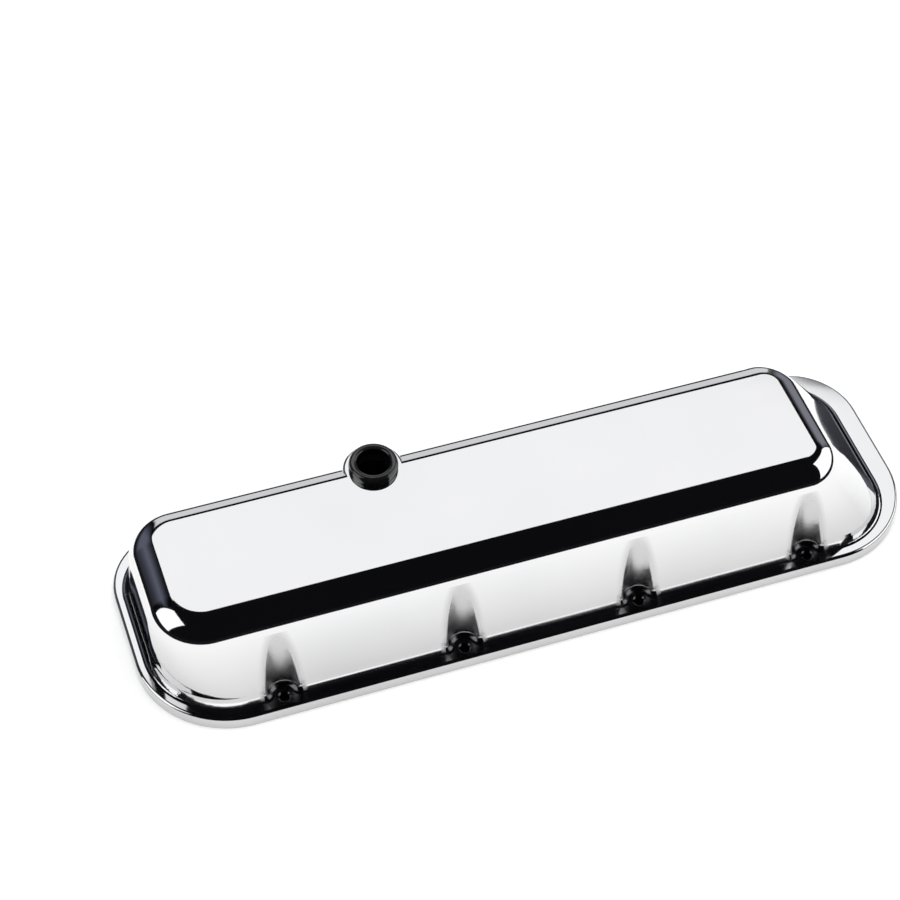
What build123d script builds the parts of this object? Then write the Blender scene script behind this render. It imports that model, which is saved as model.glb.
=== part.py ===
"""Cast aluminium valve cover for a big V8 cylinder head, with its rubber breather grommet.

Frame: millimetres, +Z up. The gasket rail stands on Z = 0, +X runs along the crankshaft line,
and +Y points to the intake side of the head. The origin is the middle of the gasket face.
"""
from build123d import *
import os
from math import hypot

# Bolt rail round the foot of the cover
BOLT_PITCH = 122.94            # cylinder bore spacing of the head
RAIL_LENGTH = 541.4
RAIL_WIDTH = 166.4
RAIL_THICKNESS = 9.5
EXHAUST_CORNER_RADIUS = 63.5
INTAKE_CORNER_RADIUS = 47.0
RAIL_EDGE_RADIUS = 2.2
BOLT_INSET = 8.9               # bolt lines, in from the long edges
BOLT_SHIFT = -1.1              # the bolt pattern sits a little left of the rail's middle
BOLT_HOLE_DIAMETER = 6.8       # clearance for a quarter-inch bolt
BOLT_HOLE_CHAMFER = 0.9
NOTCH_RADIUS = 10.7            # room for a socket at each bolt, at the rail's top face
NOTCH_RADIUS_AT_CROWN = 15.4
NOTCH_LIP_RADIUS = 2.0

# Raised body: where its drafted walls would meet the rail and the crown if nothing was rounded
CROWN_HEIGHT = 76.0
FOOT_LEFT, CROWN_LEFT = -260.4, -259.4
FOOT_RIGHT, CROWN_RIGHT = 253.5, 206.3
FOOT_EXHAUST, CROWN_EXHAUST = -72.5, -55.6
FOOT_INTAKE, CROWN_INTAKE = 70.0, 47.6
FOOT_CORNERS = (53.0, 44.0, 36.0, 36.5)     # exhaust left, exhaust right, intake right, intake left
CROWN_CORNERS = (32.0, 25.0, 28.0, 31.0)
CROWN_FILLET = 18.5
FOOT_FILLET = 5.0
WALL = 4.0

# Breather boss behind the crown, and the grommet in its hole
BREATHER_X, BREATHER_Y = -89.3, 38.0
BOSS_RADIUS = 20.5
BOSS_TOP_RADIUS = 2.0
BREATHER_HOLE_RADIUS = 15.9    # one and a quarter inch hole
BREATHER_POCKET_RADIUS = 17.2
GROMMET_RADIUS = 17.15
GROMMET_BORE_RADIUS = 12.4
GROMMET_STAND = 11.0
GROMMET_EDGE = 0.9
GROMMET_LIP_RADIUS = 17.0
GROMMET_LIP_DEPTH = 3.5
GROMMET_NECK_CLEARANCE = 0.05

# Oil baffle under the breather hole, on four cast posts
BAFFLE_LENGTH, BAFFLE_WIDTH, BAFFLE_SHEET = 124.0, 66.0, 1.2
BAFFLE_MIDDLE_Y = 11.0
BAFFLE_TOP = 60.0
BAFFLE_HEM = 8.0
BAFFLE_BEND_RADIUS = 2.4
BAFFLE_END_LAND = 6.0          # plain sheet between the tray's ends and its drain slots
DRAIN_SLOT_LENGTH, DRAIN_SLOT_WIDTH = 26.0, 4.0
DRAIN_SLOT_PITCH = 9.0
POST_SPACING_X, POST_SPACING_Y = 104.0, 40.0
POST_RADIUS = 5.5
SCREW_RADIUS = 2.1
SCREW_LENGTH = 9.0
SCREW_HEAD_RADIUS, SCREW_HEAD_HEIGHT = 3.9, 2.4
SCREW_SLOT_WIDTH, SCREW_SLOT_DEPTH = 1.1, 1.2
SCREW_HOLE_RADIUS = 2.2
SCREW_TIP_GAP = 1.0            # left at the bottom of each post's hole

EXHAUST_EDGE = -RAIL_WIDTH / 2
INTAKE_EDGE = RAIL_WIDTH / 2
EXHAUST_BOLTS = [(BOLT_SHIFT + (i - 1.5) * BOLT_PITCH, EXHAUST_EDGE + BOLT_INSET) for i in range(4)]
INTAKE_BOLTS = [(BOLT_SHIFT + (i - 1) * 1.5 * BOLT_PITCH, INTAKE_EDGE - BOLT_INSET) for i in range(3)]
ALL_BOLTS = EXHAUST_BOLTS + INTAKE_BOLTS
BREATHER = (BREATHER_X, BREATHER_Y)
POSTS = [(BREATHER_X + i * POST_SPACING_X / 2, BAFFLE_MIDDLE_Y + j * POST_SPACING_Y / 2)
         for i in (-1, 1) for j in (-1, 1)]
ROOF = CROWN_HEIGHT - WALL
OVERCUT = 1.0                  # how far a cutter runs past the face it leaves by
LEVEL_TOLERANCE = 0.01
SEAM_TOLERANCE = 0.06


def rounded_outline(left, right, low, high, corners, z):
    """Edges of a level rectangle whose four corners have their own radii: side, corner, side, and so on."""
    a, b, c, d = corners
    return [
        Line((left + a, low, z), (right - b, low, z)),
        RadiusArc((right - b, low, z), (right, low + b, z), -b),
        Line((right, low + b, z), (right, high - c, z)),
        RadiusArc((right, high - c, z), (right - c, high, z), -c),
        Line((right - c, high, z), (left + d, high, z)),
        RadiusArc((left + d, high, z), (left, high - d, z), -d),
        Line((left, high - d, z), (left, low + a, z)),
        RadiusArc((left, low + a, z), (left + a, low, z), -a),
    ]


def upright(point, radius, low, high):
    """Upright cylinder at a point of the plan, from one height to another."""
    base = (Align.CENTER, Align.CENTER, Align.MIN)
    return Pos(point[0], point[1], low) * Cylinder(radius, high - low, align=base)


def body_outline(z, inset):
    """Plan outline of the drafted body at height z, as edges, moved inward by the inset."""
    rise = (z - RAIL_THICKNESS) / (CROWN_HEIGHT - RAIL_THICKNESS)

    def at(foot, crown):
        return foot + (crown - foot) * rise

    corners = [at(foot, crown) - inset for foot, crown in zip(FOOT_CORNERS, CROWN_CORNERS)]
    return rounded_outline(
        at(FOOT_LEFT, CROWN_LEFT) + inset,
        at(FOOT_RIGHT, CROWN_RIGHT) - inset,
        at(FOOT_EXHAUST, CROWN_EXHAUST) + inset,
        at(FOOT_INTAKE, CROWN_INTAKE) - inset,
        corners, z)


def drafted_body(bottom, top, inset, rim_radius):
    """Body with four flat drafted walls, tapering corners and one rolled rim round its flat crown."""
    foot, crown = body_outline(bottom, inset), body_outline(top, inset)
    faces = [Face(Wire(foot)), Face(Wire(crown))]
    for side in range(0, len(foot), 2):
        low, high = foot[side], crown[side]
        faces.append(Face(Wire([low, Line(low @ 1, high @ 1), high, Line(high @ 0, low @ 0)])))
        faces.append(Face.make_surface_from_curves(foot[side + 1], crown[side + 1]))
    solid = Solid(Shell(faces))
    return solid.fillet(rim_radius, edges_at(solid, top))


def edges_at(shape, height):
    """Edges of a shape that lie level at one height."""
    return shape.edges().filter_by_position(Axis.Z, height - LEVEL_TOLERANCE, height + LEVEL_TOLERANCE)


def notch_radius(z):
    """Radius of a wrench notch at height z: it opens upward, as the mould needs."""
    rise = (z - RAIL_THICKNESS) / (CROWN_HEIGHT - RAIL_THICKNESS)
    return NOTCH_RADIUS + (NOTCH_RADIUS_AT_CROWN - NOTCH_RADIUS) * rise


def notch(bolt, wall, low):
    """Drafted cutter for the notch round a bolt, grown by a wall thickness."""
    base = (Align.CENTER, Align.CENTER, Align.MIN)
    cone = Cone(notch_radius(low) + wall, notch_radius(CROWN_HEIGHT) + wall, CROWN_HEIGHT - low, align=base)
    return Pos(bolt[0], bolt[1], low) * cone


def edges_round(shape, points, radius_at, least_climb):
    """Edges that lie on an upright round surface about one of the points and climb at least so far."""
    found = []
    for edge in shape.edges():
        if edge.bounding_box().size.Z < least_climb:
            continue
        samples = [edge.position_at(t) for t in (0.15, 0.5, 0.85)]
        for x, y in points:
            if all(abs(hypot(p.X - x, p.Y - y) - radius_at(p.Z)) < SEAM_TOLERANCE for p in samples):
                found.append(edge)
                break
    return found


def rail():
    """Flat bolt rail with its rounded upper edge."""
    edges = rounded_outline(
        -RAIL_LENGTH / 2, RAIL_LENGTH / 2, EXHAUST_EDGE, INTAKE_EDGE,
        (EXHAUST_CORNER_RADIUS, EXHAUST_CORNER_RADIUS, INTAKE_CORNER_RADIUS, INTAKE_CORNER_RADIUS), 0)
    plate = extrude(Face(Wire(edges)), RAIL_THICKNESS, dir=(0, 0, 1))
    return fillet(edges_at(plate, RAIL_THICKNESS), RAIL_EDGE_RADIUS)


def is_inside_rail(edge):
    """True for an edge on the rail's top face that isn't the start of the rail's own rounded edge."""
    middle = edge.position_at(0.5)
    margin = RAIL_EDGE_RADIUS + OVERCUT
    if abs(middle.X) > RAIL_LENGTH / 2 - margin or abs(middle.Y) > RAIL_WIDTH / 2 - margin:
        return False
    corner = EXHAUST_CORNER_RADIUS if middle.Y < 0 else INTAKE_CORNER_RADIUS
    past_x = abs(middle.X) - (RAIL_LENGTH / 2 - corner)
    past_y = abs(middle.Y) - (RAIL_WIDTH / 2 - corner)
    return past_x < 0 or past_y < 0 or hypot(past_x, past_y) < corner - margin


def outer_form():
    """Outside of the casting: body, breather boss, wrench notches, rail and the blends between them."""
    boss = upright(BREATHER, BOSS_RADIUS, 0, CROWN_HEIGHT)
    boss = fillet(boss.edges().sort_by(Axis.Z)[-1], BOSS_TOP_RADIUS)
    form = Part([drafted_body(0, CROWN_HEIGHT, 0, CROWN_FILLET)]) + boss
    for bolt in ALL_BOLTS:
        form -= notch(bolt, 0, -OVERCUT)
    lips = edges_round(form, ALL_BOLTS, notch_radius, least_climb=RAIL_THICKNESS)
    form = form.solid().fillet(NOTCH_LIP_RADIUS, lips)
    form = Part([form]) + rail()
    seam = [edge for edge in edges_at(form, RAIL_THICKNESS) if is_inside_rail(edge)]
    return form.solid().fillet(FOOT_FILLET, seam)


def cavity():
    """Hollow inside of the cover, which keeps an even wall round the notches and the boss."""
    hollow = Part([drafted_body(-OVERCUT, ROOF, WALL, CROWN_FILLET - WALL)])
    hollow += upright(BREATHER, BREATHER_POCKET_RADIUS, -OVERCUT, ROOF)
    for bolt in ALL_BOLTS:
        hollow -= notch(bolt, WALL, -2 * OVERCUT)
    return hollow


def valve_cover():
    """The one-piece casting, machined on its gasket face and drilled."""
    cover = Part([outer_form()]) - cavity()
    for post in POSTS:
        cover += upright(post, POST_RADIUS, BAFFLE_TOP, ROOF + OVERCUT)
    for post in POSTS:
        cover -= upright(post, SCREW_HOLE_RADIUS, BAFFLE_TOP - OVERCUT, BAFFLE_TOP + SCREW_LENGTH)
    cover -= upright(BREATHER, BREATHER_HOLE_RADIUS, ROOF - OVERCUT, CROWN_HEIGHT + OVERCUT)
    hole = BOLT_HOLE_DIAMETER / 2
    for bolt in ALL_BOLTS:
        cover -= upright(bolt, hole, -OVERCUT, RAIL_THICKNESS + OVERCUT)
        mouth = Cone(hole, hole + BOLT_HOLE_CHAMFER, BOLT_HOLE_CHAMFER,
                     align=(Align.CENTER, Align.CENTER, Align.MAX))
        cover -= Pos(bolt[0], bolt[1], RAIL_THICKNESS) * mouth
    return cover


def breather_grommet():
    """Rubber grommet: a tall collar above the boss, a neck in the hole and a lip under the roof."""
    top = CROWN_HEIGHT + GROMMET_STAND
    neck = BREATHER_HOLE_RADIUS - GROMMET_NECK_CLEARANCE
    profile = Polyline([
        (GROMMET_BORE_RADIUS, ROOF - GROMMET_LIP_DEPTH),
        (GROMMET_LIP_RADIUS, ROOF - GROMMET_LIP_DEPTH),
        (GROMMET_LIP_RADIUS, ROOF),
        (neck, ROOF),
        (neck, CROWN_HEIGHT),
        (GROMMET_RADIUS, CROWN_HEIGHT),
        (GROMMET_RADIUS, top - GROMMET_EDGE),
        (GROMMET_RADIUS - GROMMET_EDGE, top),
        (GROMMET_BORE_RADIUS, top),
    ], close=True)
    section = make_face(Plane.XZ * profile)
    return Pos(BREATHER_X, BREATHER_Y, 0) * revolve(section, Axis.Z)


def oil_baffle():
    """Pressed steel tray that keeps splashed oil out of the breather."""
    hung = (Align.CENTER, Align.CENTER, Align.MAX)
    tray = Box(BAFFLE_LENGTH, BAFFLE_WIDTH, BAFFLE_HEM, align=hung)
    tray = fillet(edges_at(tray, 0).filter_by(Axis.X), BAFFLE_BEND_RADIUS)
    hollow = Pos(0, 0, -BAFFLE_SHEET) * Box(
        BAFFLE_LENGTH + 2 * OVERCUT, BAFFLE_WIDTH - 2 * BAFFLE_SHEET, BAFFLE_HEM, align=hung)
    inner_bends = edges_at(hollow, -BAFFLE_SHEET).filter_by(Axis.X)
    tray -= fillet(inner_bends, BAFFLE_BEND_RADIUS - BAFFLE_SHEET)
    for end in (-1, 1):
        for row in (-1, 0, 1):
            slot = extrude(SlotOverall(DRAIN_SLOT_LENGTH, DRAIN_SLOT_WIDTH), BAFFLE_HEM, both=True)
            slot_x = end * (BAFFLE_LENGTH / 2 - DRAIN_SLOT_LENGTH / 2 - BAFFLE_END_LAND)
            tray -= Pos(slot_x, row * DRAIN_SLOT_PITCH, 0) * slot
    tray = Pos(BREATHER_X, BAFFLE_MIDDLE_Y, BAFFLE_TOP) * tray
    for post in POSTS:
        tray -= upright(post, SCREW_HOLE_RADIUS, BAFFLE_TOP - BAFFLE_HEM, BAFFLE_TOP + OVERCUT)
    return tray


def baffle_screws():
    """Four slotted pan-head screws that hold the tray to the cast posts."""
    seat = BAFFLE_TOP - BAFFLE_SHEET
    screws = []
    for post in POSTS:
        head = upright(post, SCREW_HEAD_RADIUS, seat - SCREW_HEAD_HEIGHT, seat)
        head = chamfer(head.edges().sort_by(Axis.Z)[0], SCREW_HEAD_HEIGHT / 3)
        screw = head + upright(post, SCREW_RADIUS, seat, BAFFLE_TOP + SCREW_LENGTH - SCREW_TIP_GAP)
        slot = Box(3 * SCREW_HEAD_RADIUS, SCREW_SLOT_WIDTH, 2 * SCREW_SLOT_DEPTH)
        screw -= Pos(post[0], post[1], seat - SCREW_HEAD_HEIGHT) * slot
        screws.append(screw.solid())
    return Compound(screws)


if __name__ == "__main__":
    os.makedirs("parts", exist_ok=True)
    for make in (valve_cover, breather_grommet, oil_baffle, baffle_screws):
        export_step(make(), f"parts/{make.__name__}.step")
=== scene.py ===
"""Looks for the valve cover: polished casting, rubber grommet, plated baffle, and a dark studio round them.

Metres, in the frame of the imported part: +Z up, the gasket face on Z = 0, +Y to the intake side.
"""

from math import atan2, copysign, cos, pi, radians, sin, tan

import bpy
from mathutils import Matrix, Vector

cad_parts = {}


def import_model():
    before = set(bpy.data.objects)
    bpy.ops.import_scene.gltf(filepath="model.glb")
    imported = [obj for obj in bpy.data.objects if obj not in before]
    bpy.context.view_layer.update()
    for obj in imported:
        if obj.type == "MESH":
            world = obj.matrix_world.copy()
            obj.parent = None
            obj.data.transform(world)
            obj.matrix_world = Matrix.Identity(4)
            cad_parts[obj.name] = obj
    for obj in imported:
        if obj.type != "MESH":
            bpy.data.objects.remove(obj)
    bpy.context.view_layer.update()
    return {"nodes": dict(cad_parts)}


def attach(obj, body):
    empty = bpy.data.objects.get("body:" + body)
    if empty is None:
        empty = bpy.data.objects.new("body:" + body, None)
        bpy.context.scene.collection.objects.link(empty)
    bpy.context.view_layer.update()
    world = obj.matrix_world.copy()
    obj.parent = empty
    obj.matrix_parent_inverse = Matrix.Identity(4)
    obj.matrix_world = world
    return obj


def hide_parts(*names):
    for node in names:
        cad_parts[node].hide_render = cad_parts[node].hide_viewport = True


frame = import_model()
nodes = frame["nodes"]

TINY = 1e-6

# Camera
CAMERA_AIM = Vector((-0.01447, 0.09603, 0.0))
CAMERA_AZIMUTH = -20.20        # degrees, from straight in front of the exhaust side
CAMERA_ELEVATION = 50.05
CAMERA_ROLL = 1.71
CAMERA_DISTANCE = 1.67237
CAMERA_LENS = 94.72
CAMERA_SENSOR = 36.0
CAMERA_REACH = 200.0

# Studio panels, as directions from the part: azimuth counter-clockwise from +X, then elevation, in degrees
STUDIO_RADIUS = 9.0
BACK_CARD = ((45, 46.5), (98, 46.5), (98, 56), (45, 56))
BACK_WALL = ((54, 0), (99, 0), (99, 37), (54, 37))
LEFT_SOFTBOX = ((140, 60), (158, 8), (192, 3), (205, 52))
RIGHT_SOFTBOX = ((-50, 3), (22, 0.5), (24, 36), (-20, 60))
LEFT_WALL = ((98, -3), (150, -3), (150, 56), (98, 56))
RIGHT_WALL = ((20, -4), (58, -4), (58, 45), (20, 33))
PATCH_CELLS = 32, 24           # across and up a soft panel

# Light: colours and strengths
WHITE = (0.985, 0.985, 1.0)
BLUE_GREY = (0.70, 0.74, 1.0)
PALE_BLUE = (0.84, 0.86, 1.0)
ROOM = (0.004, 0.004, 0.005)
BACKDROP = (0.95, 0.95, 0.95)
FILL_POWER, FILL_SPREAD = 2.6, 80
SOFTBOX_POWER = 1.2

# Floor: painted shade, nearly black, under the cover, over a rectangle grown by a radius, and not glowing
# there
FLOOR_HALF = 40.0
FLOOR_GLOW = 0.33
FLOOR_WHITE, FLOOR_SHADED = (0.85, 0.85, 0.85), (0.01, 0.01, 0.01)
SHADE_HALF = (0.2055, 0.018)
SHADE_RADIUS = 0.063

# Low black cloth all round, seen only in the polish
FLAG_DISTANCE, FLAG_FOOT, FLAG_TOP = 0.33, 0.001, 0.078
FLAG_TURNS = 64
FLAG_BLACK = (0.01, 0.01, 0.012)

# The casting's outside: where its walls start on the rail, and where they would meet the crown's plane
RAIL_TOP = 0.0095
CROWN_TOP = 0.076
RIM_RADIUS = 0.0185
LEFT_FOOT, LEFT_CROWN = -0.2604, -0.2594
RIGHT_FOOT, RIGHT_CROWN = 0.2535, 0.2063
EXHAUST_FOOT, EXHAUST_CROWN = -0.0725, -0.0556
INTAKE_FOOT, INTAKE_CROWN = 0.0700, 0.0476
# Corner radii of the crown's flat, left then right, the exhaust side's first
FLAT_CORNERS = ((0.0191, 0.0135), (0.0094, 0.0092))

# Heights at which the casting's shading changes
RIM_STARTS, RIM_FULL = 0.050, 0.058     # from the mesh's normal to the exact one
FOOT_STARTS, FOOT_ENDS = 0.0155, 0.0100     # the wall's normal is turned up from the first down to the second
FOOT_LEAN = 0.25, 0.42                  # to these upward parts
FOOT_LINE = 0.0118, 0.0126              # the painted shade on steep walls starts between these heights
WALL_FADE = 0.016, 0.062                # and fades between these
WALL_FADE_LEFT = 0.25                   # to this share
STEEP = 0.45, 0.60                      # a wall stops being steep between these upward parts of a normal
LEAST_LEVEL, MOST_RISE = 1e-4, 0.9999   # limits that keep a level part in the foot's normal

# Breather boss, bolts and the wrench notches round them
BREATHER = (-0.0893, 0.038)
BREATHER_BOSS = 0.0215                  # radius
BOLTS_MIDDLE = -0.0011
BOLT_LINE = 0.0743
EXHAUST_PITCH, INTAKE_PITCH = 0.12294, 0.18441
BOLT_HOLE = 0.0046                      # radius of a bolt hole's mouth, chamfer and all
HOLE_TOP = RAIL_TOP - 0.0002            # just under the rail's top face
NOTCH_INSIDE, NOTCH_OUTSIDE = 0.0135, 0.0165
NOTCH_TOP = 0.0595
NOTCH_BOTTOM = RAIL_TOP - 0.0003        # just under the rail's top face
SATIN_STARTS = 0.0143                   # the notch is satin above this height and smoother below it
SEAT_INSIDE, SEAT_OUTSIDE = 0.0118, 0.0130      # the dark painted shade on the seat under a bolt's head, by distance
SEAT_EDGE, SEAT_TOP = 0.0120, 0.0128            # and by height

# Inside of the casting: a surface that faces this line isn't polished
CORE_HALF_LENGTH = 0.190
CORE_HEIGHT = 0.005

# Tints, and roughness as a range
POLISHED = (0.83, 0.835, 0.84), (0.87, 0.87, 0.87)
# Painted shade: the tint of steep walls low down and of the notches
LOW_PAINTED_SHADE = (0.54, 0.54, 0.54), (0.60, 0.60, 0.60)
AS_CAST = (0.50, 0.50, 0.50), (0.62, 0.615, 0.60)
# Painted shade on the bolt seats
SEAT_PAINTED_SHADE = (0.16, 0.16, 0.17)
# Painted shade in the bolt holes
HOLE_PAINTED_SHADE = (0.07, 0.07, 0.075)
RUBBER = (0.006, 0.006, 0.0065), (0.013, 0.013, 0.0135)
PLATED_SHEET = (0.60, 0.58, 0.52), (0.72, 0.69, 0.60)
ZINC = (0.62, 0.62, 0.62), (0.74, 0.74, 0.72)
MIRROR_ROUGH, WIPE_ROUGH = (0.03, 0.055), (0.0, 0.02)
SEAT_ROUGH, SATIN_ROUGH, CAST_ROUGH = (0.16, 0.22), (0.24, 0.33), (0.42, 0.62)
RUBBER_ROUGH, SHEET_ROUGH, ZINC_ROUGH = (0.07, 0.12), (0.28, 0.42), (0.22, 0.34)

# Grommet, as radius and height in millimetres, from the bottom of its bore outwards and up
GROMMET_PROFILE = (
    (12.4, 68.6), (16.5, 68.6), (16.9, 69.0), (16.9, 71.8), (15.88, 71.95), (15.88, 76.0), (16.3, 76.05),
    (16.5, 77.5), (16.45, 79.3), (16.2, 80.6), (15.8, 81.4), (15.2, 81.9), (14.5, 82.1), (12.2, 82.0),
    (11.5, 81.7), (11.25, 81.1), (11.4, 80.4), (12.4, 79.4),
)
GROMMET_SIDES = 128
GROMMET_CREASE = 50            # degrees
MM = 0.001


def wall_slope(foot, crown):
    """Angle of a wall from the vertical."""
    return atan2(abs(foot - crown), CROWN_TOP - RAIL_TOP)


def rim_inset(slope):
    """How far the crown's flat ends inside the edge where a wall would meet it."""
    return RIM_RADIUS * tan((pi / 2 - slope) / 2)


def flat_span(slopes, crowns):
    """Middle and half length of the crown's flat between two opposite walls."""
    low, high = crowns[0] + rim_inset(slopes[0]), crowns[1] - rim_inset(slopes[1])
    return (low + high) / 2, (high - low) / 2


ALONG = wall_slope(LEFT_FOOT, LEFT_CROWN), wall_slope(RIGHT_FOOT, RIGHT_CROWN)
ACROSS = wall_slope(EXHAUST_FOOT, EXHAUST_CROWN), wall_slope(INTAKE_FOOT, INTAKE_CROWN)
WALL_LEANS = tuple(sin(slope) for slope in ALONG), tuple(sin(slope) for slope in ACROSS)
FLAT_MIDDLE, FLAT_HALF = zip(flat_span(ALONG, (LEFT_CROWN, RIGHT_CROWN)),
                             flat_span(ACROSS, (EXHAUST_CROWN, INTAKE_CROWN)))


def node(tree, kind, **values):
    """A shader node with its properties and plain socket values set."""
    made = tree.nodes.new(kind)
    for key, value in values.items():
        if hasattr(made, key):
            setattr(made, key, value)
        else:
            made.inputs[key.replace("_", " ")].default_value = value
    return made


def feed(tree, socket, value):
    """Sets a socket to a number or a colour, or links another socket to it."""
    if isinstance(value, (int, float)):
        socket.default_value = value
    elif isinstance(value, tuple):
        socket.default_value = (*value, 1.0)
    else:
        tree.links.new(value, socket)


def math(tree, operation, *values):
    """A Math node over sockets or plain numbers; returns its output."""
    made = node(tree, "ShaderNodeMath", operation=operation)
    for socket, value in zip(made.inputs, values):
        feed(tree, socket, value)
    return made.outputs[0]


def product(tree, first, *others):
    """All values multiplied together."""
    for value in others:
        first = math(tree, "MULTIPLY", first, value)
    return first


def between(tree, value, low, high):
    """1 where a value lies between two limits, else 0."""
    return product(tree, math(tree, "GREATER_THAN", value, low), math(tree, "LESS_THAN", value, high))


def length2(tree, a, b):
    """Length of a plane vector."""
    return math(tree, "SQRT", math(tree, "ADD", product(tree, a, a), product(tree, b, b)))


def past_end(tree, offset, half):
    """How far a point lies past the end of a stretch, from its offset from the middle; 0 within it."""
    return math(tree, "MAXIMUM", math(tree, "SUBTRACT", math(tree, "ABSOLUTE", offset), half), 0.0)


def level_part(tree, rise):
    """Level part of a unit vector with this upward part."""
    return math(tree, "SQRT", math(tree, "SUBTRACT", 1.0, product(tree, rise, rise)))


def pick(tree, side, low, high):
    """The low value where the side is 0, the high value where it is 1."""
    made = node(tree, "ShaderNodeMix", data_type="FLOAT")
    for slot, value in ((0, side), (2, low), (3, high)):
        feed(tree, made.inputs[slot], value)
    return made.outputs[0]


def blend(tree, factor, a, b):
    """Mixes two colours or sockets by a factor."""
    made = node(tree, "ShaderNodeMix", data_type="RGBA")
    for slot, value in ((0, factor), (6, a), (7, b)):
        feed(tree, made.inputs[slot], value)
    return made.outputs[2]


def span(tree, value, low, high, start=0.3, end=0.7):
    """Maps a value to a range, between two turning points; the usual ones suit a noise."""
    made = node(tree, "ShaderNodeMapRange")
    feed(tree, made.inputs["Value"], value)
    for name, limit in (("From Min", start), ("From Max", end), ("To Min", low), ("To Max", high)):
        feed(tree, made.inputs[name], limit)
    return made.outputs["Result"]


def tint(tree, value, colours):
    """A colour between two tints, by a noise."""
    return blend(tree, span(tree, value, 0.0, 1.0), *colours)


def noise(tree, scale, detail, stretch=(1, 1, 1), offset=(0, 0, 0)):
    """Noise over the part's own coordinates, in features per metre; returns the 0 to 1 value."""
    where = node(tree, "ShaderNodeTexCoord")
    spread = node(tree, "ShaderNodeMapping")
    spread.inputs["Scale"].default_value = stretch
    spread.inputs["Location"].default_value = offset
    tree.links.new(where.outputs["Object"], spread.inputs["Vector"])
    made = node(tree, "ShaderNodeTexNoise", Scale=scale, Detail=detail)
    tree.links.new(spread.outputs["Vector"], made.inputs["Vector"])
    return made.outputs["Fac"]


def bump(tree, height, strength, distance, below=None):
    """A Bump node; returns its normal."""
    made = node(tree, "ShaderNodeBump", Strength=strength, Distance=distance)
    tree.links.new(height, made.inputs["Height"])
    if below is not None:
        tree.links.new(below, made.inputs["Normal"])
    return made.outputs["Normal"]


def apart(tree, vector):
    """The X, Y and Z sockets of a vector."""
    split = node(tree, "ShaderNodeSeparateXYZ")
    tree.links.new(vector, split.inputs[0])
    return split.outputs["X"], split.outputs["Y"], split.outputs["Z"]


def together(tree, x, y, z):
    """A vector of three values."""
    made = node(tree, "ShaderNodeCombineXYZ")
    for socket, value in zip(made.inputs, (x, y, z)):
        feed(tree, socket, value)
    return made.outputs[0]


def new_material(name, metallic):
    """A Principled material and its tree."""
    material = bpy.data.materials.new(name)
    material.use_nodes = True
    shader = material.node_tree.nodes["Principled BSDF"]
    shader.inputs["Metallic"].default_value = metallic
    return material, material.node_tree, shader


def inside_mask(tree):
    """1 on surfaces that face the casting's core, 0 outside."""
    geometry = node(tree, "ShaderNodeNewGeometry")
    here = geometry.outputs["Position"]
    x = apart(tree, here)[0]
    along = math(tree, "MINIMUM", math(tree, "MAXIMUM", x, -CORE_HALF_LENGTH), CORE_HALF_LENGTH)
    away = node(tree, "ShaderNodeVectorMath", operation="SUBTRACT")
    tree.links.new(here, away.inputs[0])
    tree.links.new(together(tree, along, 0.0, CORE_HEIGHT), away.inputs[1])
    facing = node(tree, "ShaderNodeVectorMath", operation="DOT_PRODUCT")
    tree.links.new(away.outputs[0], facing.inputs[0])
    tree.links.new(geometry.outputs["True Normal"], facing.inputs[1])
    return math(tree, "LESS_THAN", facing.outputs["Value"], 0.0)


def from_bolts(tree, x, y, pitch, phase):
    """Distance in plan to the nearest bolt of a row with this pitch."""
    step = math(tree, "FLOORED_MODULO", math(tree, "SUBTRACT", x, BOLTS_MIDDLE - phase), pitch)
    aside = math(tree, "SUBTRACT", step, pitch / 2)
    return length2(tree, aside, math(tree, "SUBTRACT", math(tree, "ABSOLUTE", y), BOLT_LINE))


def nearest_bolt(tree, x, y):
    """Distance in plan to the nearest bolt of either row."""
    far_side = math(tree, "GREATER_THAN", y, 0.0)
    near = from_bolts(tree, x, y, EXHAUST_PITCH, 0.0)
    far = from_bolts(tree, x, y, INTAKE_PITCH, INTAKE_PITCH / 2)
    return pick(tree, far_side, near, far)


def wall_lean(tree, ways, sides):
    """Upward part of the normal of the walls, mixed round the corners by the way they face in plan."""
    shares = [product(tree, product(tree, way, way), pick(tree, side, *leans))
              for way, side, leans in zip(ways, sides, WALL_LEANS)]
    return math(tree, "ADD", *shares)


def foot_normal(tree, z, smooth):
    """The mesh's normal, turned up slowly just above the rail so that the body's foot blends into it.

    Returns the normal and its upward part.
    """
    *plan, mesh_rise = apart(tree, node(tree, "ShaderNodeNewGeometry").outputs["Normal"])
    was = math(tree, "MAXIMUM", length2(tree, *plan), LEAST_LEVEL)
    ways = [math(tree, "DIVIDE", part, was) for part in plan]
    sides = [math(tree, "GREATER_THAN", way, 0.0) for way in ways]
    turned = span(tree, z, *reversed(FOOT_LEAN), FOOT_ENDS, FOOT_STARTS)
    turned = math(tree, "MAXIMUM", wall_lean(tree, ways, sides), turned)
    here = product(tree, between(tree, z, FOOT_ENDS, FOOT_STARTS), smooth)
    rise = math(tree, "MINIMUM", pick(tree, here, mesh_rise, turned), MOST_RISE)
    share = math(tree, "DIVIDE", level_part(tree, rise), was)
    return together(tree, *[product(tree, part, share) for part in plan], rise), rise


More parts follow.
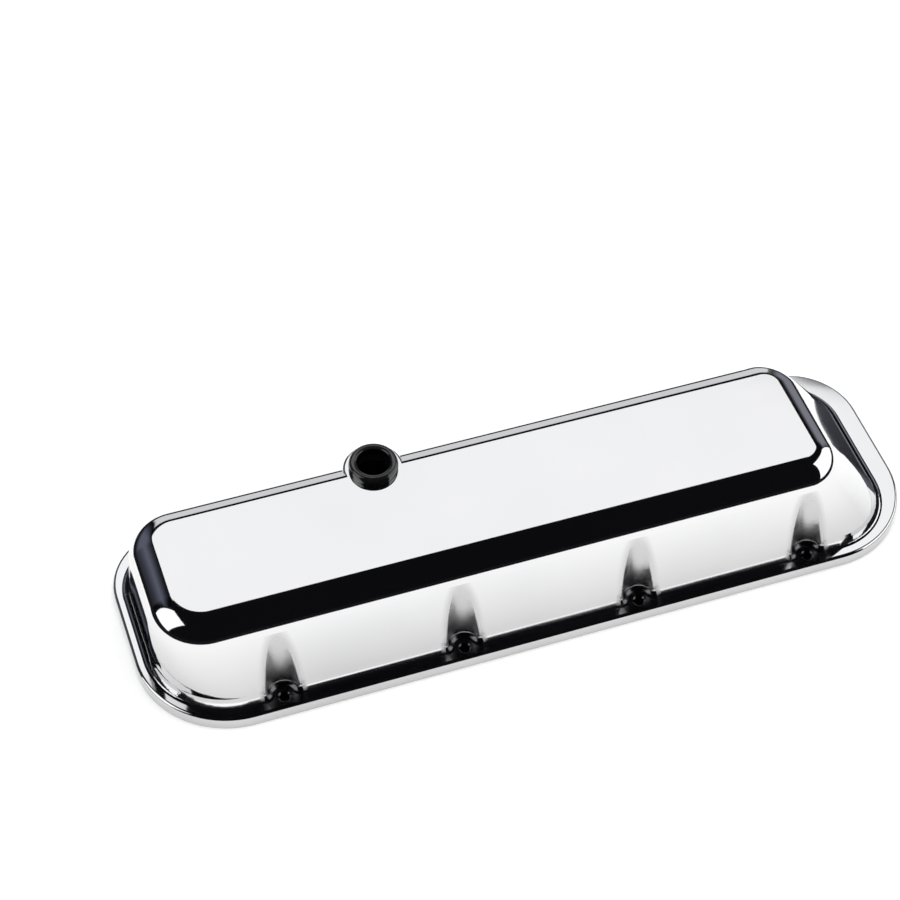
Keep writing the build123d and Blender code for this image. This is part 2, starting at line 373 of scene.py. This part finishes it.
def rolled_normal(tree, x, y, z, mesh, keep):
    """Exact normal of the crown's flat, its rolled rim and the walls just under it; elsewhere the mesh's."""
    offsets = [math(tree, "SUBTRACT", place, middle) for place, middle in zip((x, y), FLAT_MIDDLE)]
    sides = [math(tree, "GREATER_THAN", offset, 0.0) for offset in offsets]
    right, far = sides
    corner = pick(tree, right, *[pick(tree, far, *radii) for radii in FLAT_CORNERS])
    past = [past_end(tree, offset, math(tree, "SUBTRACT", half, corner))
            for offset, half in zip(offsets, FLAT_HALF)]
    reach = math(tree, "MAXIMUM", length2(tree, *past), TINY)
    ways = [math(tree, "DIVIDE", part, reach) for part in past]
    out = math(tree, "MAXIMUM", math(tree, "SUBTRACT", reach, corner), 0.0)
    up = math(tree, "SUBTRACT", z, CROWN_TOP - RIM_RADIUS)
    rise = math(tree, "DIVIDE", up, math(tree, "MAXIMUM", length2(tree, out, up), TINY))
    rise = math(tree, "MINIMUM", math(tree, "MAXIMUM", rise, wall_lean(tree, ways, sides)), 1.0)
    level = level_part(tree, rise)
    plan = [product(tree, level, way, pick(tree, side, -1.0, 1.0)) for way, side in zip(ways, sides)]
    mix = node(tree, "ShaderNodeMix", data_type="VECTOR")
    tree.links.new(product(tree, keep, span(tree, z, 0.0, 1.0, RIM_STARTS, RIM_FULL)), mix.inputs[0])
    tree.links.new(mesh, mix.inputs[4])
    tree.links.new(together(tree, *plan, rise), mix.inputs[5])
    unit = node(tree, "ShaderNodeVectorMath", operation="NORMALIZE")
    tree.links.new(mix.outputs[1], unit.inputs[0])
    return unit.outputs[0]


def polished_casting():
    """Mirror-polished aluminium outside, satin in the notches, with painted shade low on the walls, in the
    notches, on the bolt seats and in the bolt holes, as-cast inside.
    """
    material, tree, shader = new_material("polished_aluminium", 1.0)
    inside = inside_mask(tree)
    outside = math(tree, "SUBTRACT", 1.0, inside)
    x, y, z = apart(tree, node(tree, "ShaderNodeNewGeometry").outputs["Position"])
    bolt = nearest_bolt(tree, x, y)
    notch = span(tree, bolt, 1.0, 0.0, NOTCH_INSIDE, NOTCH_OUTSIDE)
    notch = product(tree, notch, between(tree, z, NOTCH_BOTTOM, NOTCH_TOP))
    off_notch = math(tree, "GREATER_THAN", bolt, NOTCH_OUTSIDE)
    off_seat = math(tree, "GREATER_THAN", bolt, SEAT_OUTSIDE)
    mesh, rise = foot_normal(tree, z, product(tree, outside, off_seat))

    haze = noise(tree, 9.0, detail=2.0)
    wipe = noise(tree, 40.0, detail=4.0, stretch=(0.15, 1.0, 1.0), offset=(3, 1, 0))
    sand = noise(tree, 900.0, detail=3.0, offset=(7, 2, 5))
    stain = noise(tree, 30.0, detail=4.0, offset=(2, 8, 1))
    mirror = math(tree, "ADD", span(tree, haze, *MIRROR_ROUGH), span(tree, wipe, *WIPE_ROUGH))
    satin = pick(tree, math(tree, "GREATER_THAN", z, SATIN_STARTS),
                 span(tree, wipe, *SEAT_ROUGH), span(tree, wipe, *SATIN_ROUGH))
    rough = pick(tree, inside, pick(tree, notch, mirror, satin), span(tree, sand, *CAST_ROUGH))
    tree.links.new(rough, shader.inputs["Roughness"])

    # Painted shade: steep walls take the darker tint, fully low down and fading higher up, but not in a thin
    # strip just above the rail
    steep = product(tree, span(tree, rise, 1.0, 0.0, *STEEP), span(tree, z, 1.0, WALL_FADE_LEFT, *WALL_FADE))
    foot_line = product(tree, span(tree, z, 1.0, 0.0, *FOOT_LINE), math(tree, "GREATER_THAN", z, RAIL_TOP))
    painted_shade = product(tree, steep, math(tree, "SUBTRACT", 1.0, foot_line))
    low = tint(tree, haze, LOW_PAINTED_SHADE)
    # Painted shade on the seat under a bolt's head, low down within the notch
    seat_painted_shade = product(tree, span(tree, z, 1.0, 0.0, SEAT_EDGE, SEAT_TOP),
                   span(tree, bolt, 1.0, 0.0, SEAT_INSIDE, SEAT_OUTSIDE))
    # Painted shade down inside each bolt hole
    in_hole = product(tree, math(tree, "LESS_THAN", bolt, BOLT_HOLE), math(tree, "LESS_THAN", z, HOLE_TOP))
    colour = blend(tree, painted_shade, tint(tree, haze, POLISHED), low)
    # Painted shade in the notches: the low tint all through them
    colour = blend(tree, notch, colour, blend(tree, seat_painted_shade, low, SEAT_PAINTED_SHADE))
    colour = blend(tree, in_hole, colour, HOLE_PAINTED_SHADE)
    tree.links.new(blend(tree, inside, colour, tint(tree, stain, AS_CAST)), shader.inputs["Base Color"])

    from_breather = [math(tree, "SUBTRACT", place, middle) for place, middle in zip((x, y), BREATHER)]
    off_boss = math(tree, "GREATER_THAN", length2(tree, *from_breather), BREATHER_BOSS)
    above_notch = math(tree, "GREATER_THAN", z, NOTCH_TOP)
    keep = product(tree, outside, off_boss, math(tree, "MAXIMUM", off_notch, above_notch))
    swell = noise(tree, 22.0, detail=1.0, offset=(5, 5, 2))
    rolled = rolled_normal(tree, x, y, z, mesh, keep)
    soft = bump(tree, swell, strength=0.12, distance=0.0004, below=rolled)
    grain = product(tree, sand, inside)
    rough_normal = bump(tree, grain, strength=0.6, distance=0.0004, below=soft)
    tree.links.new(rough_normal, shader.inputs["Normal"])
    return material


def moulded_rubber():
    """Black rubber, glossy, with a slight bloom."""
    material, tree, shader = new_material("black_rubber", 0.0)
    shader.inputs["Specular IOR Level"].default_value = 1.0
    bloom = noise(tree, 160.0, detail=4.0)
    pores = noise(tree, 1500.0, detail=2.0, offset=(1, 4, 2))
    tree.links.new(tint(tree, bloom, RUBBER), shader.inputs["Base Color"])
    tree.links.new(span(tree, bloom, *RUBBER_ROUGH), shader.inputs["Roughness"])
    tree.links.new(bump(tree, pores, strength=0.15, distance=0.0002), shader.inputs["Normal"])
    return material


def plated_steel(name, tints, rough, scale):
    """Zinc-plated steel with a rolled grain."""
    material, tree, shader = new_material(name, 1.0)
    patches = noise(tree, scale, detail=4.0)
    lines = noise(tree, 700.0, detail=3.0, stretch=(0.06, 1.0, 1.0), offset=(2, 2, 6))
    tree.links.new(tint(tree, patches, tints), shader.inputs["Base Color"])
    tree.links.new(span(tree, lines, *rough), shader.inputs["Roughness"])
    tree.links.new(bump(tree, lines, strength=0.1, distance=0.0002), shader.inputs["Normal"])
    return material


def dress(name, material):
    """Puts a material in every slot of a CAD node."""
    for slot in nodes[name].material_slots:
        slot.material = material


def new_object(name, points, faces, material):
    """A mesh object of one material."""
    mesh = bpy.data.meshes.new(name)
    mesh.from_pydata([tuple(p) for p in points], [], faces)
    mesh.materials.append(material)
    made = bpy.data.objects.new(name, mesh)
    bpy.context.scene.collection.objects.link(made)
    return made


def grommet(material):
    """The rubber grommet with its rounded shoulder and the thin lip round the mouth of its bore."""
    points, faces, row = [], [], len(GROMMET_PROFILE)
    for i in range(GROMMET_SIDES):
        turn = 2 * pi * i / GROMMET_SIDES
        for radius, height in GROMMET_PROFILE:
            reach = radius * MM
            points.append((BREATHER[0] + reach * cos(turn), BREATHER[1] + reach * sin(turn), height * MM))
        start, after = i * row, (i + 1) % GROMMET_SIDES * row
        for k in range(row):
            faces.append((start + k, after + k, after + (k + 1) % row, start + (k + 1) % row))
    made = new_object("rubber_grommet", points, faces, material)
    for face in made.data.polygons:
        face.use_smooth = True
    made.data.set_sharp_from_angle(angle=radians(GROMMET_CREASE))
    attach(made, "root")
    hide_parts("breather_grommet")


def direction(azimuth, elevation):
    """Unit vector of an azimuth and elevation in degrees."""
    a, e = radians(azimuth), radians(elevation)
    return Vector((cos(a) * cos(e), sin(a) * cos(e), sin(e)))


def glow(name, colour, strength, layer=None):
    """An emitting material, as bright as a colour layer of its mesh says, if one is named."""
    material = bpy.data.materials.new(name)
    material.use_nodes = True
    tree = material.node_tree
    tree.nodes.clear()
    light = node(tree, "ShaderNodeEmission", Strength=strength)
    light.inputs["Color"].default_value = (*colour, 1.0)
    if layer is not None:
        share = node(tree, "ShaderNodeVertexColor", layer_name=layer)
        tree.links.new(product(tree, share.outputs["Color"], strength), light.inputs["Strength"])
    out = node(tree, "ShaderNodeOutputMaterial")
    tree.links.new(light.outputs[0], out.inputs["Surface"])
    return material


def sheet(name, points, faces, material):
    """A stage mesh that lights the part and that the camera doesn't see."""
    made = new_object(name, points, faces, material)
    made.visible_camera = False
    return made


def across_quad(values, u, v):
    """A value inside a quad, from the values at its four corners."""
    low_left, low_right, high_right, high_left = values
    return (1 - v) * ((1 - u) * low_left + u * low_right) + v * ((1 - u) * high_left + u * high_right)


def sky_patch(name, corners, colour, power, soft=0.0):
    """A glowing sheet far from the part, between four directions, dark at its edges over a soft share."""
    across, up = PATCH_CELLS
    azimuths, elevations = zip(*corners)
    points, glows = [], []
    for j in range(up + 1):
        v = j / up
        for i in range(across + 1):
            u = i / across
            place = direction(across_quad(azimuths, u, v), across_quad(elevations, u, v))
            points.append(place * STUDIO_RADIUS)
            edge = min(u, 1 - u, v, 1 - v)
            glows.append(1.0 if soft == 0 else min(1.0, edge / soft))
    row = across + 1
    faces = [(j * row + i, j * row + i + 1, (j + 1) * row + i + 1, (j + 1) * row + i)
             for j in range(up) for i in range(across)]
    made = sheet(name, points, faces, glow(name, colour, power, "glow"))
    layer = made.data.color_attributes.new("glow", "FLOAT_COLOR", "POINT")
    for item, value in zip(layer.data, glows):
        bright = value * value * (3 - 2 * value)
        item.color = (bright, bright, bright, 1.0)


def softbox(name, corners):
    """A flat-sided glowing sheet whose four corners lie in four directions."""
    points = [direction(*corner) * STUDIO_RADIUS for corner in corners]
    sheet(name, points, [(0, 1, 2, 3)], glow(name, WHITE, SOFTBOX_POWER))


def black_flag():
    """A low black loop round the part, which ends the white floor in the polish of its rims."""
    points = []
    for i in range(FLAG_TURNS):
        turn = 2 * pi * i / FLAG_TURNS
        x, y = [copysign(half if abs(part) > TINY else 0.0, part) + FLAG_DISTANCE * part
                for half, part in zip(FLAT_HALF, (cos(turn), sin(turn)))]
        points += [(x, y, FLAG_FOOT), (x, y, FLAG_TOP)]
    count = len(points)
    faces = [(k, (k + 2) % count, (k + 3) % count, k + 1) for k in range(0, count, 2)]
    made = sheet("black_flag", points, faces, glow("black_flag", FLAG_BLACK, 1.0))
    made.visible_diffuse = False
    made.visible_shadow = False


def floor():
    """Plain white floor, partly glowing so that it stays even to the horizon, with painted shade, nearly
    black, under the cover.
    """
    material, tree, shader = new_material("studio_floor", 0.0)
    shader.inputs["Roughness"].default_value = 0.9
    shader.inputs["Specular IOR Level"].default_value = 0.1
    shader.inputs["Emission Color"].default_value = (1, 1, 1, 1)
    plan = apart(tree, node(tree, "ShaderNodeTexCoord").outputs["Object"])
    past = [past_end(tree, place, half) for place, half in zip(plan, SHADE_HALF)]
    lit = math(tree, "GREATER_THAN", length2(tree, *past), SHADE_RADIUS)
    tree.links.new(product(tree, lit, FLOOR_GLOW), shader.inputs["Emission Strength"])
    tree.links.new(blend(tree, lit, FLOOR_SHADED, FLOOR_WHITE), shader.inputs["Base Color"])
    h = FLOOR_HALF
    points = (-h, -h, 0), (h, -h, 0), (h, h, 0), (-h, h, 0)
    new_object("studio_floor", points, [(0, 1, 2, 3)], material)


def world():
    """Dark room for reflections, pale backdrop behind the part."""
    made = bpy.data.worlds.new("studio")
    bpy.context.scene.world = made
    made.use_nodes = True
    tree = made.node_tree
    tree.nodes.clear()
    path = node(tree, "ShaderNodeLightPath")
    choose = node(tree, "ShaderNodeMixShader")
    tree.links.new(path.outputs["Is Camera Ray"], choose.inputs["Fac"])
    for slot, colour in ((1, ROOM), (2, BACKDROP)):
        backdrop = node(tree, "ShaderNodeBackground", Strength=1.0)
        backdrop.inputs["Color"].default_value = (*colour, 1)
        tree.links.new(backdrop.outputs[0], choose.inputs[slot])
    out = node(tree, "ShaderNodeOutputWorld")
    tree.links.new(choose.outputs[0], out.inputs["Surface"])


def lights():
    """Overhead fill for the floor and the dull pieces, then the panels that the polish reflects."""
    fill = bpy.data.lights.new("fill", "SUN")
    fill.energy = FILL_POWER
    fill.angle = radians(FILL_SPREAD)
    lamp = bpy.data.objects.new("fill", fill)
    lamp.visible_glossy = False
    bpy.context.scene.collection.objects.link(lamp)
    black_flag()
    sky_patch("back_card", BACK_CARD, WHITE, power=1.05)
    sky_patch("back_wall", BACK_WALL, WHITE, power=0.72, soft=0.08)
    softbox("left_softbox", LEFT_SOFTBOX)
    softbox("right_softbox", RIGHT_SOFTBOX)
    sky_patch("left_wall", LEFT_WALL, BLUE_GREY, power=0.15, soft=0.35)
    sky_patch("right_wall", RIGHT_WALL, PALE_BLUE, power=0.25, soft=0.30)


def camera():
    """Camera where the photograph was taken from."""
    a, e, roll = radians(CAMERA_AZIMUTH), radians(CAMERA_ELEVATION), radians(CAMERA_ROLL)
    back = Vector((sin(a) * cos(e), -cos(a) * cos(e), sin(e)))
    level = Vector((cos(a), sin(a), 0))
    rise = back.cross(level)
    right = level * cos(roll) + rise * sin(roll)
    up = rise * cos(roll) - level * sin(roll)
    data = bpy.data.cameras.new("camera")
    data.lens = CAMERA_LENS
    data.sensor_width = CAMERA_SENSOR
    data.clip_end = CAMERA_REACH
    made = bpy.data.objects.new("camera", data)
    place = Matrix((right, up, back)).transposed().to_4x4()
    place.translation = CAMERA_AIM + back * CAMERA_DISTANCE
    made.matrix_world = place
    bpy.context.scene.collection.objects.link(made)
    bpy.context.scene.camera = made


dress("valve_cover", polished_casting())
grommet(moulded_rubber())
dress("oil_baffle", plated_steel("plated_sheet", PLATED_SHEET, SHEET_ROUGH, scale=60.0))
dress("baffle_screws", plated_steel("zinc_screw", ZINC, ZINC_ROUGH, scale=200.0))

floor()
world()
lights()
camera()
bpy.context.scene.view_settings.view_transform = "Standard"
